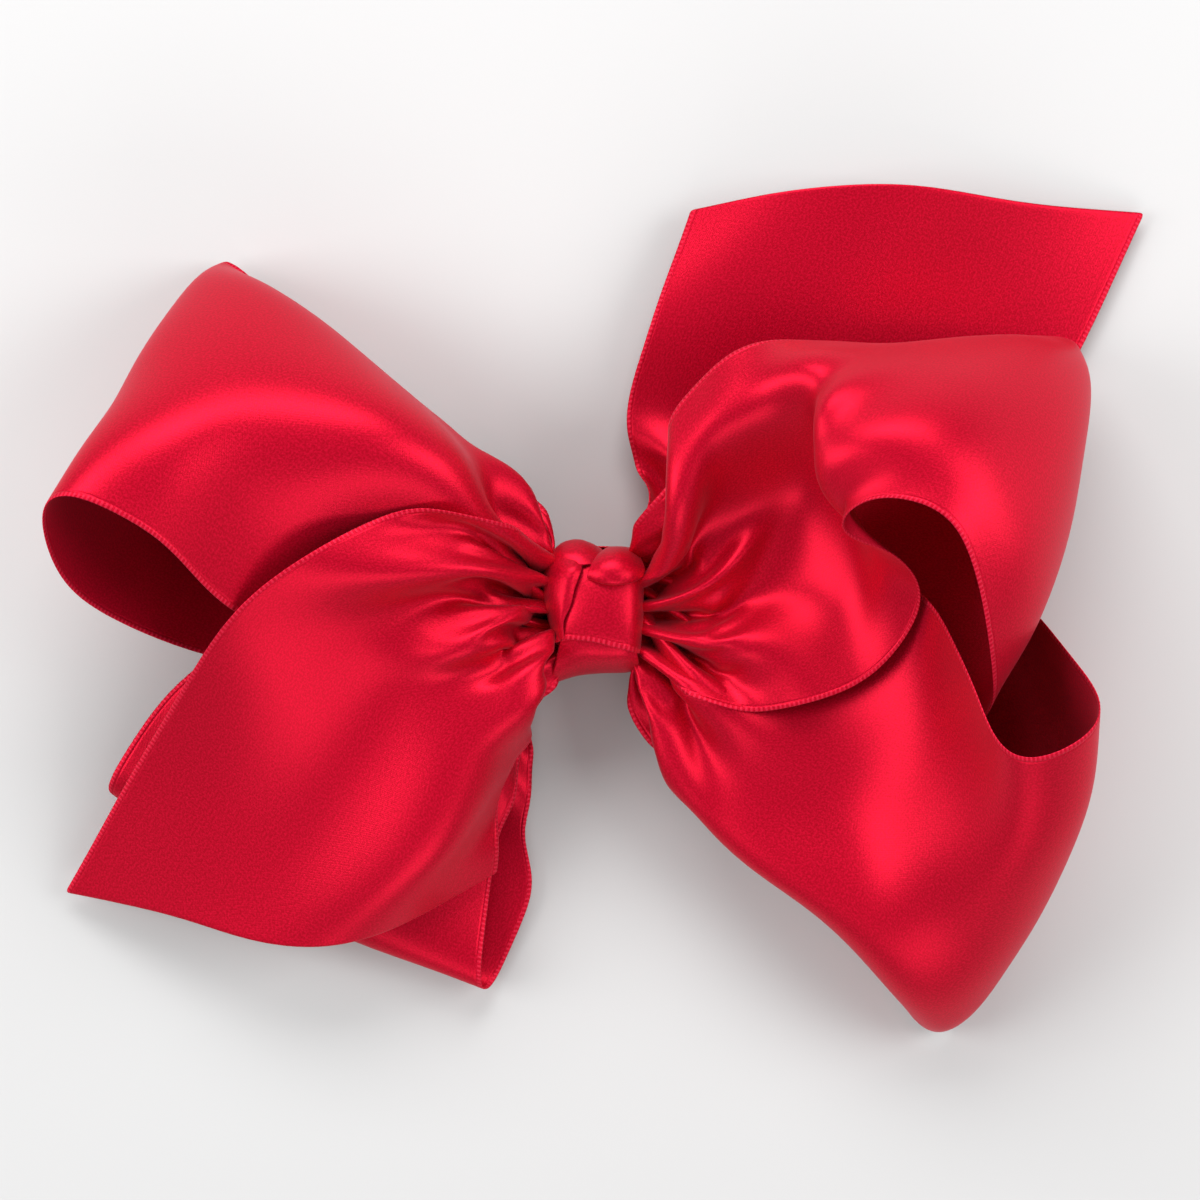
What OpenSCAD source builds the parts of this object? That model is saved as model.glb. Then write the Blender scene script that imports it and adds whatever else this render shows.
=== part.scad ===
// Twisted satin hair bow on a sprung alligator clip, lying on its back.
// Origin on the flat back of the clip, under the centre of the knot; +Z is the front of the bow.

/* [Bow] */
// Overall width of the bow, left to right
bow_w = 196; // [160:1:240]
// Overall height of the bow, bottom loop to rear tail
bow_h = 155; // [125:1:190]
// Overall depth of the bow, back of the clip to the highest loop
bow_d = 62; // [50:1:74]
// Thickness of the wide ribbon's solid
ribbon_t = 0.5; // [0.3:0.05:0.8]

/* [Gather] */
// Length of the pinched centre, along X
gather_l = 16; // [13:0.5:20]
// Width of the pinched centre, along Y
gather_w = 18; // [15:0.5:22]
// Height of the back of the pinched centre above the clip's back
gather_z = 8; // [7.2:0.1:10]
// Spacing of the ribbon layers in the pinch
layer_gap = 1.7; // [1.4:0.1:2.2]
// Diameter of the thread that ties the pinch
thread_d = 0.6; // [0.4:0.1:1]

/* [Knot] */
// Width of the knot ribbon's front pass
knot_face_w = 9.4; // [8:0.2:12]
// Thickness of the knot ribbon
knot_t = 0.8; // [0.5:0.1:1.2]
// Clearance between neighbouring folds of the knot
knot_gap = 0.2; // [0.1:0.05:0.3]

/* [Clip] */
// Length of the clip, nose to lever end
clip_l = 57; // [48:1:68]
// Width of the clip's upper arm
clip_w = 9.5; // [8.5:0.5:12]
// Thickness of the clip's steel
steel_t = 0.8; // [0.6:0.1:1]
// Height of the gap under the upper arm at the nose
nose_gap = 2.6; // [2.4:0.1:3.2]
// Height of the gap under the upper arm at the pivot
pivot_gap = 5.6; // [5.2:0.1:6.2]
// Distance from the lever ends to the pivot
lever_l = 14; // [11:0.5:17]
// Angle that the upper lever bends away from its arm
lever_bend = 12; // [8:1:16]
// Radius of the pivot pin
pin_r = 1; // [0.8:0.05:1.2]
// Radial clearance of the pin in the lower jaw
pin_clear = 0.05; // [0.03:0.01:0.1]
// Sideways clearance between the clip's ears
ear_clear = 0.25; // [0.15:0.05:0.4]
// Wire radius of the clip's spring
wire_r = 0.25; // [0.2:0.05:0.3]
// Thickness of the lining ribbon
lining_t = 0.4; // [0.3:0.05:0.5]
// Thickness of the grip pad
pad_t = 0.7; // [0.5:0.1:0.8]

/* [Hidden] */
eps = 0.01;
$fn = 48;

// The guide points below are drawn for a bow of this size.
drawn_w = 196;
drawn_h = 155;
drawn_d = 62;
drawn_pinch_x = 8;
drawn_pinch_w = 18;
blend_l = 24;

// Height of ribbon layer i in the pinch, counted from the back.
function layer_z(i) = gather_z + 1 + i * layer_gap;
gather_top = layer_z(4) + 1;

// A guide point moved from the drawn size to the real one; the pinch keeps its own size.
function away(x) = min(1, max(0, (abs(x) - drawn_pinch_x) / blend_l));
function mix(a, b, t) = a + (b - a) * t;
function spread_x(x) = sign(x) * (gather_l / 2 + (abs(x) - drawn_pinch_x)
    * (bow_w / 2 - gather_l / 2) / (drawn_w / 2 - drawn_pinch_x));
function place(p) = [spread_x(p.x),
    p.y * mix(gather_w / drawn_pinch_w, bow_h / drawn_h, away(p.x)),
    p.z * mix(1, bow_d / drawn_d, away(p.x))];

// Smooth curve through points: value at parameter t of a list of vectors.
function at(p, i) = p[max(0, min(len(p) - 1, i))];
function curve(p, t) = let (i = min(len(p) - 2, floor(t)), f = t - i,
        a = i == 0 ? 2 * p[0] - p[1] : p[i - 1], b = p[i], c = p[i + 1],
        d = i + 2 > len(p) - 1 ? 2 * p[len(p) - 1] - p[len(p) - 2] : p[i + 2])
    b + 0.5 * f * (c - a + f * (2 * a - 5 * b + 4 * c - d + f * (3 * (b - c) + d - a)));

// A sheet of thickness ribbon_t over ribs of guide points; ribs run from selvage to selvage.
module ribbon(ribs, along = 3, across = 3) {
    real = [for (r = ribs) [for (p = r) place(p)]];
    m = (len(ribs) - 1) * along;
    n = (len(ribs[0]) - 1) * across;
    fine = [for (r = real) [for (j = [0:n]) curve(r, j / across)]];
    g = [for (i = [0:m]) [for (j = [0:n]) curve([for (r = fine) r[j]], i / along)]];
    w = n + 1;
    // Normal of each cell of the sheet, then of each point as the mean of the cells round it.
    cells = [for (i = [0:m - 1]) [for (j = [0:n - 1])
        let (c = cross(g[i + 1][j + 1] - g[i][j], g[i][j + 1] - g[i + 1][j])) c / norm(c)]];
    function cell(i, j) = cells[max(0, min(m - 1, i))][max(0, min(n - 1, j))];
    normals = [for (i = [0:m]) [for (j = [0:n])
        let (c = cell(i - 1, j - 1) + cell(i - 1, j) + cell(i, j - 1) + cell(i, j)) c / norm(c)]];
    front = [for (i = [0:m]) for (j = [0:n]) g[i][j] + normals[i][j] * ribbon_t / 2];
    back = [for (i = [0:m]) for (j = [0:n]) g[i][j] - normals[i][j] * ribbon_t / 2];
    s = w * (m + 1);
    function quad(a, b, c, d) = [[a, b, c], [a, c, d]];
    faces = [
        for (i = [0:m - 1]) for (j = [0:n - 1]) let (a = i * w + j)
            each concat(quad(a, a + 1, a + w + 1, a + w), quad(s + a, s + a + w, s + a + w + 1, s + a + 1)),
        for (i = [0:m - 1]) let (a = i * w, b = a + n)
            each concat(quad(a, a + w, s + a + w, s + a), quad(b + w, b, s + b, s + b + w)),
        for (j = [0:n - 1]) let (b = m * w + j)
            each concat(quad(j + 1, j, s + j, s + j + 1), quad(b, b + 1, s + b + 1, s + b))];
    polyhedron(concat(front, back), faces, convexity = 10);
}

// The n guide points where a layer meets the pinch on side s, from y = dir times the lower edge upwards.
pinch_edge = drawn_pinch_w / 2 - 1;
function pinch(s, dir, z, n) = [for (j = [0:n - 1])
    [s * drawn_pinch_x, dir * pinch_edge * (2 * j / (n - 1) - 1), z]];
function pinch_up(s, z, n) = pinch(s, 1, z, n);
function pinch_down(s, z, n) = pinch(s, -1, z, n);

// Guide ribs, in millimetres at the drawn size. Ribs follow the ribbon from the pinch outwards.
upper_left_loop_ribs = [
    pinch_up(-1, layer_z(3), 5),
    [[-22, -7, 18], [-20, 2, 21], [-16, 14, 26], [-14, 21, 19], [-13, 19, 13]],
    [[-43, -6, 27], [-40, 8, 32], [-31, 29, 42], [-33, 38, 20], [-30, 33, 10]],
    [[-61, -2, 37], [-58, 15, 42], [-51, 38, 41], [-50, 52, 18], [-46, 46, 5]],
    [[-75, 13, 50], [-72, 27, 50], [-68, 46, 34], [-65, 60, 11], [-62, 59, 4]],
    [[-91, 19, 52], [-86, 30, 42], [-79, 45, 25], [-72, 59, 8], [-68, 62, 3]],
    [[-91, 5, 40], [-85, 16, 29], [-76, 34, 14], [-68, 55, 3], [-63, 61, 2]],
    [[-77, -5, 23], [-72, 7, 17], [-64, 26, 9], [-56, 45, 2], [-53, 51, 2]],
    [[-59, -10, 17], [-54, 1, 13], [-45, 19, 9], [-38, 35, 4], [-36, 40, 3]],
    [[-31, -9, 16], [-28, -1, 15], [-24, 9, 13], [-21, 18, 8], [-20, 20, 7]],
    pinch_up(-1, layer_z(2), 5)];
lower_left_loop_ribs = [
    pinch_down(-1, layer_z(1), 4),
    [[-29, 3, 12], [-25, -7, 13], [-20, -16, 15], [-13, -22, 12]],
    [[-56, -2, 13], [-46, -18, 17], [-34, -32, 16], [-17, -39, 8]],
    [[-76, -15, 10], [-64, -30, 12], [-47, -44, 12], [-19, -52, 7]],
    [[-87, -32, 8], [-69, -44, 9], [-46, -57, 9], [-20, -67, 8]],
    [[-88, -34, 4], [-70, -45, 4], [-46, -59, 4], [-19, -69, 4]],
    [[-80, -30, 2], [-62, -40, 2], [-40, -52, 2], [-11, -50, 3]],
    [[-60, -20, 5], [-46, -29, 5], [-30, -38, 3], [-13, -42, 3]],
    [[-31, -8, 10.5], [-24, -14, 9], [-18, -20, 7], [-13, -26, 6]],
    pinch_down(-1, layer_z(0), 4)];
upper_right_loop_ribs = [
    pinch_up(1, layer_z(4), 5),
    [[24, -17, 25], [22, -6, 24], [18, 7, 24], [15, 17, 34], [12, 22, 29]],
    [[46, -13, 28], [37, -2, 25], [28, 15, 22], [20, 31, 39], [16, 37, 33]],
    [[56, 1, 35], [45, 9, 28], [36, 21, 24], [28, 36, 40], [26, 45, 35]],
    [[52, 8, 42], [44, 17, 38], [40, 28, 38], [36, 41, 45], [39, 46, 31]],
    [[41, 13, 49], [36, 22, 52], [36, 33, 53], [45, 43, 41], [51, 46, 23]],
    [[46, 18, 57], [45, 28, 58], [50, 38, 50], [62, 46, 30], [70, 48, 14]],
    [[58, 15, 60], [60, 26, 58], [67, 37, 46], [80, 46, 22], [86, 47, 10]],
    [[66, -7, 50], [73, 8, 50], [82, 28, 36], [87, 40, 18], [86, 45, 9]],
    [[66, -19, 38], [74, -5, 37], [81, 15, 25], [82, 31, 14], [79, 41, 8]],
    [[53, -18, 25], [60, -6, 24], [66, 12, 19], [65, 29, 12], [61, 39, 8]],
    [[33, -10, 15], [34, 0, 15], [38, 14, 14], [38, 26, 11], [36, 33, 9]],
    pinch_up(1, layer_z(2), 5)];
lower_right_loop_ribs = [
    pinch_down(1, layer_z(3), 5),
    [[23, 3, 17], [21, -6, 17], [16, -17, 21], [12, -23, 17], [11, -27, 12]],
    [[40, 3, 19], [39, -13, 21], [28, -32, 20], [23, -42, 19], [29, -43, 8]],
    [[55, 4, 31], [54, -16, 28], [45, -36, 22], [41, -55, 21], [46, -58, 6]],
    [[62, -8, 45], [62, -28, 36], [57, -50, 28], [54, -69, 16], [56, -71, 3]],
    [[70, -25, 52], [72, -40, 42], [69, -60, 24], [62, -77, 5], [60, -75, 3]],
    [[85, -18, 48], [85, -33, 36], [79, -53, 18], [68, -71, 3], [66, -73, 2]],
    [[81, -8, 37], [81, -23, 25], [75, -41, 12], [64, -60, 3], [62, -64, 2]],
    [[69, 5, 22], [68, -13, 13], [60, -31, 7], [50, -46, 3], [47, -51, 2]],
    [[44, 8, 12], [42, -7, 9], [36, -20, 6], [30, -30, 4], [28, -33, 4]],
    pinch_down(1, layer_z(1), 5)];
front_tail_ribs = [
    pinch_down(-1, layer_z(4), 5),
    [[-20, 16, 34], [-20, 7, 30], [-20, -3, 29], [-12, -14, 28], [-11, -19, 19]],
    [[-34, 15, 38], [-35, 3, 36], [-34, -12, 28], [-20, -27, 28], [-14, -27, 17]],
    [[-57, 4, 42], [-53, -9, 34], [-44, -26, 25], [-27, -42, 26], [-17, -34, 12]],
    [[-77, -22, 22], [-69, -32, 20], [-53, -44, 19], [-37, -53, 21], [-17, -42, 12]],
    [[-95, -51, 3], [-76, -55, 10], [-57, -60, 15], [-40, -58, 17], [-17, -47, 9]]];
rear_tail_ribs = [
    pinch_down(1, layer_z(0), 5),
    [[10, 23, 7], [15, 19, 7], [26, 16, 7], [33, 9, 6], [35, 0, 5]],
    [[6, 35, 5], [19, 37, 6], [36, 37, 5], [51, 30, 4], [60, 19, 4]],
    [[9, 49, 8], [22, 54, 9], [41, 53, 9], [61, 46, 4], [80, 34, 3]],
    [[17, 71, 6], [34, 74, 11], [57, 75, 12], [79, 72, 7], [99, 71, 2]]];

module upper_left_loop() { color("crimson") ribbon(upper_left_loop_ribs); }
module lower_left_loop() { color("firebrick") ribbon(lower_left_loop_ribs); }
module upper_right_loop() { color("crimson") ribbon(upper_right_loop_ribs); }
module lower_right_loop() { color("crimson") ribbon(lower_right_loop_ribs); }
module front_tail() { color("crimson") ribbon(front_tail_ribs); }
module rear_tail() { color("firebrick") ribbon(rear_tail_ribs); }

// Rectangle with round ends in the YZ plane, extruded along X about the origin.
module pad_x(length, w, z0, z1) {
    r = (z1 - z0) / 2;
    rotate([90, 0, 90]) linear_extrude(length, center = true)
        union() {
            translate([-w / 2 + r, z0 + r]) circle(r);
            translate([w / 2 - r, z0 + r]) circle(r);
            translate([-w / 2 + r, z0]) square([w - 2 * r, 2 * r]);
        }
}

thread_turns = 5;
waist = thread_d;
waist_l = thread_turns * thread_d + 0.4;

// The pinched layers, pressed into one block, with a waist where the thread bites.
module gathered_centre() {
    color("firebrick") union() {
        for (s = [-1, 1])
            translate([s * (gather_l / 2 + waist_l / 2) / 2, 0, 0])
                pad_x((gather_l - waist_l) / 2, gather_w, gather_z, gather_top);
        pad_x(waist_l + eps, gather_w - 2 * waist, gather_z + waist, gather_top - waist);
    }
}

// Turns of thread that fill the waist.
module cinch_thread() {
    color("darkred") difference() {
        pad_x(waist_l - 0.2, gather_w - 0.1, gather_z + 0.05, gather_top - 0.05);
        pad_x(waist_l, gather_w - 2 * waist + eps, gather_z + waist - eps / 2, gather_top - waist + eps / 2);
    }
}

// A band of knot ribbon bent round the X axis at height knot_axis_z.
knot_axis_z = gather_z + 4.5;
knot_r = max(gather_top - knot_axis_z + 1.2, gather_w / 2 + 0.7);
module knot_band(x0, x1, r, t, a0, a1) {
    translate([x0, 0, knot_axis_z]) rotate([90, 0, 90]) linear_extrude(x1 - x0)
        difference() {
            circle(r + t, $fn = 72);
            circle(r, $fn = 72);
            polygon(concat([[0, 0]], [for (k = [0:6]) let (a = mix(a1, a0 + 360, k / 6))
                3 * r * [cos(a), sin(a)]]));
        }
}
knot_x0 = -2.8;
knot_x1 = knot_x0 + knot_face_w;

// Flat front face of the knot.
module knot_front_pass() {
    color("crimson") knot_band(knot_x0, knot_x1, knot_r + knot_t + knot_gap, knot_t, 50, 118);
}
// Fold that rolls under the face on its left.
module knot_side_fold() {
    color("crimson") knot_band(-gather_l / 2 - 0.5, knot_x0 + 2, knot_r, knot_t, 40, 125);
}
// Band that crosses below the face.
module knot_lower_pass() {
    color("crimson") knot_band(-gather_l / 2, gather_l / 2, knot_r + knot_t + knot_gap, knot_t, 128, 168);
}
// Round folds above the face.
module knot_top_fold(x, r) {
    color("crimson") intersection() {
        translate([x, knot_r * cos(48), knot_axis_z + knot_r * sin(48)])
            sphere(r, $fn = 32);
        knot_band(-gather_l, gather_l, knot_r + knot_t + knot_gap, 2.6, 5, 48);
    }
}
module knot_top_fold_left() { knot_top_fold(-4.6, 4.3); }
module knot_top_fold_right() { knot_top_fold(4.3, 4.1); }

// Slope of the upper arm, nose down, and the level frame that it is drawn in.
nose_x = clip_l / 2;
pivot_x = -clip_l / 2 + lever_l;
pivot_z = steel_t + (pivot_gap - steel_t) / 2;
arm_slope = atan((pivot_gap - nose_gap) / (nose_x - pivot_x));
module on_arm() { translate([pivot_x, 0, pivot_gap]) rotate([0, arm_slope, 0]) children(); }
arm_l = (nose_x - pivot_x) / cos(arm_slope);
arm_x0 = -pivot_x / cos(arm_slope);

// Band that passes behind the bow, between the clip's jaws.
lining_side = 0.3;
band_w = gather_l - 3;
arm_z0 = pivot_gap + pivot_x * tan(arm_slope);
module knot_back_pass() {
    low = -lining_t - knot_gap;
    side = clip_w / 2 + lining_side + knot_gap;
    turn = gather_z - arm_z0 - 0.7;
    outer = knot_r + knot_t / 2;
    top = knot_axis_z - arm_z0 + 1.5;
    color("firebrick") on_arm() translate([arm_x0, 0, 0]) rotate([90, 0, 90])
        linear_extrude(band_w, center = true) polygon([for (s = [1, -1]) each
            let (path = [[side, low], [side, turn], [outer, turn], [outer, top],
                         [outer + knot_t, top], [outer + knot_t, turn - knot_t],
                         [side + knot_t, turn - knot_t], [side + knot_t, low - knot_t]])
            [for (k = [0:7]) let (p = path[s > 0 ? k : 7 - k]) [s * p.x, p.y]]]);
}

// Glue under the knot's front face.
module knot_glue() {
    color("ghostwhite") translate([1, 0, gather_top]) cylinder(h = knot_axis_z + knot_r - gather_top - 0.1, r = 3);
}
// Glue that beds the gather on the clip's lining.
module clip_glue() {
    z0 = pivot_gap + steel_t + lining_t;
    color("ghostwhite") rotate([90, 0, 0]) linear_extrude(clip_w - 2, center = true)
        polygon([for (x = [-gather_l / 2 + 1, gather_l / 2 - 1])
                     [x, z0 - (x - pivot_x) * tan(arm_slope) + 0.02],
                 [gather_l / 2 - 1, gather_z], [-gather_l / 2 + 1, gather_z]]);
}

ear_l = 6;
module ear_holes(r) {
    translate([pivot_x, 0, pivot_z]) rotate([90, 0, 0]) cylinder(h = 2 * clip_w, r = r, center = true);
}

// Upper arm: flat strip with a round nose, a raised lever and two ears that hold the pin.
module clip_upper_arm() {
    color("silver") difference() {
        union() {
            on_arm() {
                translate([0, -clip_w / 2, 0]) cube([arm_l - clip_w / 2, clip_w, steel_t]);
                translate([arm_l - clip_w / 2, 0, 0]) cylinder(h = steel_t, r = clip_w / 2);
                rotate([0, lever_bend, 0]) translate([-lever_l, -clip_w / 2, 0])
                    cube([lever_l, clip_w, steel_t]);
            }
            for (s = [-1, 1])
                translate([pivot_x - ear_l / 2, s * (clip_w - steel_t) / 2 - steel_t / 2, pivot_z - 2])
                    cube([ear_l, steel_t, pivot_gap - pivot_z + 2]);
        }
        ear_holes(pin_r);
    }
}

jaw_w = clip_w - 2 * steel_t - 2 * ear_clear;
jaw_l = clip_l - 2;
tooth_h = 0.5;
tooth_l = 1.5;
tooth_root = 0.2;
tooth_low = tooth_root + 0.1;
tooth_n = 8;
// Lower jaw: flat strip on the bow's back, with ears inside the upper ones and teeth at its nose.
module clip_lower_jaw() {
    color("silver") difference() {
        union() {
            translate([-clip_l / 2, -jaw_w / 2, 0]) cube([jaw_l - jaw_w / 2, jaw_w, steel_t]);
            translate([-clip_l / 2 + jaw_l - jaw_w / 2, 0, 0]) cylinder(h = steel_t, r = jaw_w / 2);
            for (s = [-1, 1])
                translate([pivot_x - ear_l / 2, s * (jaw_w - steel_t) / 2 - steel_t / 2, 0])
                    cube([ear_l, steel_t, pivot_z + pin_r + 0.6]);
            for (s = [-1, 1])
                translate([nose_x - 5 - tooth_n * tooth_l, s * (jaw_w - steel_t) / 2 + steel_t / 2, steel_t - tooth_root])
                    rotate([90, 0, 0]) linear_extrude(steel_t)
                        polygon(concat([[tooth_n * tooth_l, 0], [0, 0]], [for (k = [0:tooth_n - 1]) each
                            [[k * tooth_l, tooth_low], [(k + 0.5) * tooth_l, tooth_root + tooth_h]]],
                            [[tooth_n * tooth_l, tooth_low]]));
        }
        ear_holes(pin_r + pin_clear);
    }
}

// Pin pressed in the upper ears, with a low head each side.
module clip_pivot_pin() {
    color("silver") translate([pivot_x, 0, pivot_z]) rotate([90, 0, 0]) union() {
        cylinder(h = clip_w + 0.1, r = pin_r, center = true);
        for (s = [-1, 1]) translate([0, 0, s * (clip_w / 2 + 0.3)]) cylinder(h = 0.5, r = pin_r + 0.6, center = true);
    }
}

coil_r = 1.5;
coil_n = 4;
coil_pitch = 2 * wire_r + 0.03;
leg_l = 6;
upper_leg_drop = arm_slope + 2;
// Torsion spring on the pin: closed coils with one leg on each arm.
module clip_spring() {
    color("gray") translate([pivot_x, 0, pivot_z]) {
        for (k = [0:coil_n - 1])
            translate([0, (k - (coil_n - 1) / 2) * coil_pitch, 0]) rotate([90, 0, 0])
                rotate_extrude() translate([coil_r, 0]) circle(wire_r, $fn = 24);
        for (s = [-1, 1])
            translate([0, s * (coil_n + 1) / 2 * coil_pitch, s * coil_r])
                rotate([0, 90 + (s > 0 ? upper_leg_drop : 0), 0]) cylinder(h = leg_l, r = wire_r, $fn = 24);
    }
}

// Lining ribbon folded round the nose of the upper arm.
module clip_lining() {
    lining_w = clip_w + 2 * lining_side;
    inner_x = ear_l / 2 + 1;
    color("firebrick") on_arm() difference() {
        union() {
            translate([inner_x, -lining_w / 2, -lining_t])
                cube([arm_l - inner_x - clip_w / 2, lining_w, steel_t + 2 * lining_t]);
            translate([arm_l - clip_w / 2, 0, -lining_t])
                cylinder(h = steel_t + 2 * lining_t, r = lining_w / 2 + lining_t);
        }
        translate([0, -clip_w, 0]) cube([arm_l - clip_w / 2 + eps, 2 * clip_w, steel_t]);
        translate([arm_l - clip_w / 2, 0, 0]) cylinder(h = steel_t, r = clip_w / 2);
    }
}

// Soft grip pad on the lining's inner face, between the knot's band and the nose.
nose_margin = 5;
module clip_grip_pad() {
    pad_x0 = arm_x0 + band_w / 2 + 0.5;
    color("white") on_arm() translate([pad_x0, -jaw_w / 2 + 0.5, -lining_t - pad_t])
        cube([arm_l - nose_margin - pad_x0, jaw_w - 1, pad_t]);
}

upper_left_loop();
lower_left_loop();
upper_right_loop();
lower_right_loop();
front_tail();
rear_tail();
gathered_centre();
cinch_thread();
knot_front_pass();
knot_side_fold();
knot_lower_pass();
knot_top_fold_left();
knot_top_fold_right();
knot_back_pass();
knot_glue();
clip_glue();
clip_upper_arm();
clip_lining();
clip_lower_jaw();
clip_pivot_pin();
clip_spring();
clip_grip_pad();
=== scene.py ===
import math

import bpy
import numpy as np
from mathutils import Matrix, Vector


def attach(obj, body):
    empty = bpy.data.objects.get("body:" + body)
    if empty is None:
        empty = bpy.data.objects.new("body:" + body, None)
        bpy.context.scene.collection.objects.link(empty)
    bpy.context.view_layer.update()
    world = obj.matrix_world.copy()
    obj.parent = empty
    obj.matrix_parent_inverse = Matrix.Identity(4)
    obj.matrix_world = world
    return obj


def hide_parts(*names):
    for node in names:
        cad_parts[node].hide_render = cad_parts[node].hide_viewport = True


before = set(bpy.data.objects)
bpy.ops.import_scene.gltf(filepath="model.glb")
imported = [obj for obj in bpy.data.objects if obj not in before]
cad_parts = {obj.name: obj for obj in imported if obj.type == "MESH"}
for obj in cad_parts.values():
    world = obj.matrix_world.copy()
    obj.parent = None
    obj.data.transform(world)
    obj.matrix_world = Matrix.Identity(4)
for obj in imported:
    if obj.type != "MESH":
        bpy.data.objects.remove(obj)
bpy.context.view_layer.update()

mm = 0.001

# camera straight above the bow, soft lights round it, pale floor

studio = {
    "cameraHeight": 0.700,
    "cameraOffset": (0.0009, 0.0014),
    "fieldWidth": 0.216,
    "sensor": 36.0,
    "clipStart": 0.01,
    "floorSize": 4.0,
    "floorColour": (0.57, 0.57, 0.57),
    "floorRoughness": 0.7,
    "worldStrength": 0.36,
    "aim": (0, 0, 0.02),
    # place, size and power of each light
    "lights": {
        "topLight": ((-0.05, 0.62, 0.52), (0.7, 0.35), 5.4),
        "leftLight": ((-0.66, 0.02, 0.46), (0.4, 0.6), 4.0),
        "rightLight": ((0.66, 0.10, 0.48), (0.4, 0.6), 3.8),
        "lowerLight": ((0.10, -0.66, 0.50), (0.6, 0.3), 1.8),
    },
}


def addLight(name, place, size, power):
    bpy.ops.object.light_add(type="AREA", location=place)
    lamp = bpy.context.object
    lamp.name = name
    lamp.data.shape = "RECTANGLE"
    lamp.data.size, lamp.data.size_y = size
    lamp.data.energy = power
    lamp.rotation_mode = "QUATERNION"
    lamp.rotation_quaternion = (Vector(studio["aim"]) - Vector(place)).to_track_quat("-Z", "Y")


def makeStudio():
    x, y = studio["cameraOffset"]
    bpy.ops.object.camera_add(location=(x, y, studio["cameraHeight"]), rotation=(0, 0, 0))
    camera = bpy.context.object
    camera.data.sensor_width = studio["sensor"]
    camera.data.lens = studio["sensor"] * studio["cameraHeight"] / studio["fieldWidth"]
    camera.data.clip_start = studio["clipStart"]
    bpy.context.scene.camera = camera
    bpy.ops.mesh.primitive_plane_add(size=studio["floorSize"], location=(0, 0, 0))
    floor = bpy.context.object
    floor.name = "paleFloor"
    material = bpy.data.materials.new("paleFloor")
    material.use_nodes = True
    shader = material.node_tree.nodes["Principled BSDF"]
    shader.inputs["Base Color"].default_value = (*studio["floorColour"], 1)
    shader.inputs["Roughness"].default_value = studio["floorRoughness"]
    floor.data.materials.append(material)
    world = bpy.context.scene.world or bpy.data.worlds.new("studioWorld")
    bpy.context.scene.world = world
    world.use_nodes = True
    backdrop = world.node_tree.nodes["Background"]
    backdrop.inputs["Color"].default_value = (1, 1, 1, 1)
    backdrop.inputs["Strength"].default_value = studio["worldStrength"]
    for name, (place, size, power) in studio["lights"].items():
        addLight(name, place, size, power)
    bpy.context.scene.view_settings.view_transform = "Standard"
    print("studio ready")


makeStudio()

# shapes are worked out in millimetres and scaled as they become meshes

ribbon = {
    "width": 76.0,
    "thickness": 0.32,
    "pinchX": 8.0,
    "pinchHalf": 8.0,
    "lowestLayer": 9.0,
    "layerStep": 1.7,
}

tiny = 1e-9

# points along a guide line, across a rib, and in the grid that measures a stretch
guide = {"along": 300, "across": 120, "measure": (100, 30)}

# folds and fade are read against the distance from the pinch
pleat = {
    "foldsAt": (0, 12, 40), "folds": (4.5, 4.0, 1.5),
    "fadeAt": (0, 25, 48), "fade": (1, 0.8, 0),
    "height": 3.6, "phase": 1.2, "sharpness": 0.96,
}

# each level: spacing of the strip's grid, rounds, bending passes in a round
cloth = {
    "levels": ((3.8, 250, 2), (1.9, 200, 5), (1.27, 80, 8)),
    "hold": 0.02, "holdFrom": 6, "holdOver": 30, "holdPower": 1.5,
    "pleatHold": 0.12, "pleatAt": 10, "pleatSpread": 12,
    "bodyAtPinch": 0.08, "body": 0.8, "bendStep": 0.2,
    "awayFrom": 16, "awayOver": 24,
    "slack": 0.04, "shear": 0.6, "floor": 1.2,
}


def catmull(points, samples):
    p = np.asarray(points, float)
    k = len(p)
    d = np.linalg.norm(np.diff(p, axis=0), axis=-1) ** 0.5
    t = np.concatenate([[0], np.cumsum(np.maximum(d, tiny))])
    m = np.zeros_like(p)
    m[0] = (p[1] - p[0]) / (t[1] - t[0])
    m[-1] = (p[-1] - p[-2]) / (t[-1] - t[-2])
    for i in range(1, k - 1):
        a = (p[i] - p[i - 1]) / (t[i] - t[i - 1])
        b = (p[i + 1] - p[i]) / (t[i + 1] - t[i])
        wa, wb = t[i + 1] - t[i], t[i] - t[i - 1]
        m[i] = (a * wa + b * wb) / (wa + wb)
    q = np.linspace(0, t[-1], samples)
    i = np.clip(np.searchsorted(t, q, side="right") - 1, 0, k - 2)
    h = (t[i + 1] - t[i])[:, None]
    x = ((q - t[i]) / (t[i + 1] - t[i]))[:, None]
    return ((2 * x**3 - 3 * x**2 + 1) * p[i] + (x**3 - 2 * x**2 + x) * h * m[i]
            + (3 * x**2 - 2 * x**3) * p[i + 1] + (x**3 - x**2) * h * m[i + 1])


def even(points, samples):
    step = np.linalg.norm(np.diff(points, axis=0), axis=1)
    d = np.concatenate([[0], np.cumsum(step)])
    q = np.linspace(0, d[-1], samples)
    return np.stack([np.interp(q, d, points[:, c]) for c in range(3)], axis=1), d[-1]


def guideSurface(ribs, nu, nv):
    # a smooth grid through the ribs, and the length of the strip along each guide line
    runs = [even(catmull([r[j] for r in ribs], guide["along"]), nu) for j in range(len(ribs[0]))]
    columns = [run[0] for run in runs]
    lengths = [run[1] for run in runs]
    grid = np.stack([even(catmull([c[i] for c in columns], guide["across"]), nv)[0] for i in range(nu)])
    return grid, lengths


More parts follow.
